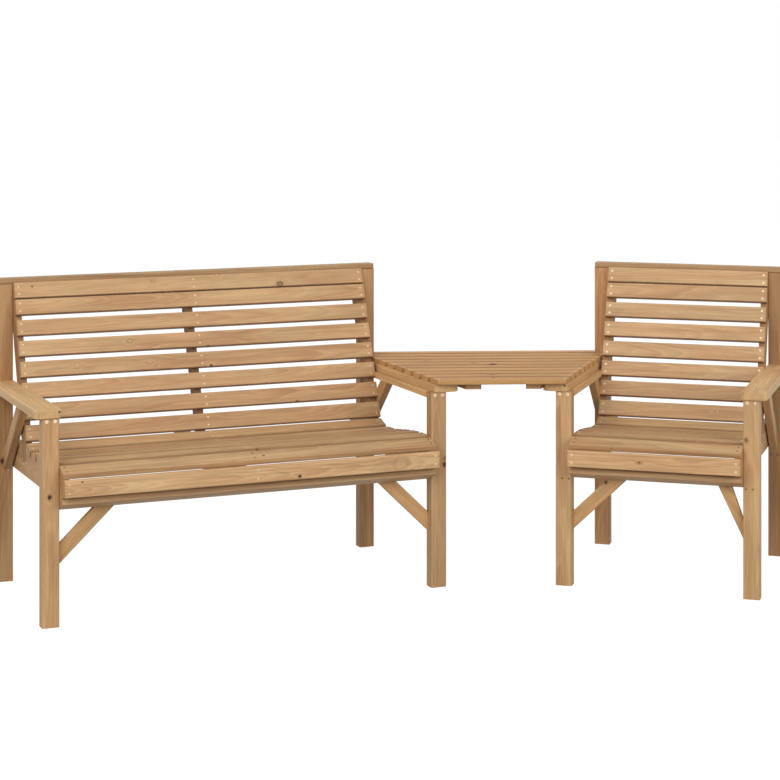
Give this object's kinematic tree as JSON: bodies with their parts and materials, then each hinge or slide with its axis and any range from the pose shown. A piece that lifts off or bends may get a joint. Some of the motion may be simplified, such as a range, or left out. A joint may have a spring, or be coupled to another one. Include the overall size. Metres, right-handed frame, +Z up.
{
  "type": "companion seat bench",
  "caption": "Companion seat: a slatted softwood bench and a matching chair, turned towards each other and joined by a wedge-shaped slatted tray at arm height.",
  "frame": {"origin": "on the floor, under the centre of the whole set's bounding box", "axes": "+X to the right as seen from the front (bench to chair), +Y to the back, +Z up"},
  "size_m": [2.4724, 1.0266, 0.9],
  "materials": {
    "legs": "matt stained softwood",
    "top_rails": "matt stained softwood",
    "arms": "matt stained softwood",
    "back_slats": "matt stained softwood",
    "seat_slats": "matt stained softwood",
    "tray_top": "matt stained softwood",
    "braces": "matt stained softwood",
    "frame_boards": "matt stained softwood",
    "screws": "zinc-plated screw heads"
  },
  "bodies": {
    "root": {"bench_arm_brace_left": "braces", "bench_arm_brace_right": "braces", "bench_arm_left": "arms", "bench_arm_rail_right": "frame_boards", "bench_arm_right": "arms", "bench_back_slat_1": "back_slats", "bench_back_slat_2": "back_slats", "bench_back_slat_3": "back_slats", "bench_back_slat_4": "back_slats", "bench_back_slat_5": "back_slats", "bench_back_slat_6": "back_slats", "bench_back_slat_7": "back_slats", "bench_back_slat_8": "back_slats", "bench_batten_left": "frame_boards", "bench_batten_middle": "frame_boards", "bench_batten_right": "frame_boards", "bench_cross_rail_front": "frame_boards", "bench_cross_rail_rear": "frame_boards", "bench_front_leg_left": "legs", "bench_front_leg_right": "legs", "bench_leg_brace_left": "braces", "bench_leg_brace_right": "braces", "bench_rear_post_left": "legs", "bench_rear_post_right": "legs", "bench_seat_board_left": "frame_boards", "bench_seat_board_middle": "frame_boards", "bench_seat_board_right": "frame_boards", "bench_seat_slat_1": "seat_slats", "bench_seat_slat_2": "seat_slats", "bench_seat_slat_3": "seat_slats", "bench_seat_slat_4": "seat_slats", "bench_seat_slat_5": "seat_slats", "bench_seat_slat_6": "seat_slats", "bench_seat_slat_7": "seat_slats", "bench_seat_slat_8": "seat_slats", "bench_seat_slat_9": "seat_slats", "bench_top_rail": "top_rails", "chair_arm_brace_left": "braces", "chair_arm_brace_right": "braces", "chair_arm_left": "arms", "chair_arm_rail_left": "frame_boards", "chair_arm_right": "arms", "chair_back_slats": "back_slats", "chair_batten_left": "frame_boards", "chair_batten_right": "frame_boards", "chair_cross_rail_front": "frame_boards", "chair_cross_rail_rear": "frame_boards", "chair_front_leg_left": "legs", "chair_front_leg_right": "legs", "chair_leg_brace_left": "braces", "chair_leg_brace_right": "braces", "chair_rear_post_left": "legs", "chair_rear_post_right": "legs", "chair_seat_board_left": "frame_boards", "chair_seat_board_right": "frame_boards", "chair_seat_slats": "seat_slats", "chair_top_rail": "top_rails", "tray_batten_left": "frame_boards", "tray_batten_right": "frame_boards", "tray_slats": "tray_top"}
  },
  "joints": []
}
